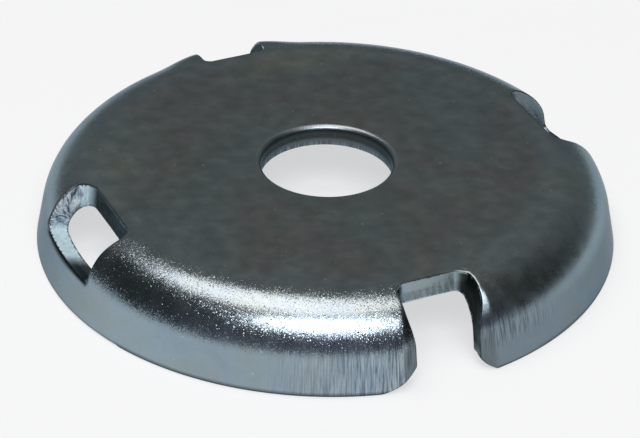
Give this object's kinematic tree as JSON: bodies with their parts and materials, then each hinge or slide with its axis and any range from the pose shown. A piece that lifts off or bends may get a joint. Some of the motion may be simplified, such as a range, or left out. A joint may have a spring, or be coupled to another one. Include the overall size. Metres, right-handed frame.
{
  "type": "strut mount washer",
  "caption": "Pressed steel cup washer with a round centre hole, open slots through its rim and closed windows at its bend, which caps a strut mount under the piston rod nut.",
  "frame": {"origin": "centre of the rim plane, on the axis of the hole, so the washer stands on z = 0", "axes": "+Z along the hole's axis from the rim to the flat top, X through the two closed windows, Y through the two open slots"},
  "size_m": [0.08, 0.0788, 0.0114],
  "materials": {
    "zinc_steel": "bright zinc plate with a clear bluish passivate over pressed steel, satin, grainy at the bend"
  },
  "bodies": {
    "root": {"strut_washer": "zinc_steel"}
  },
  "joints": []
}
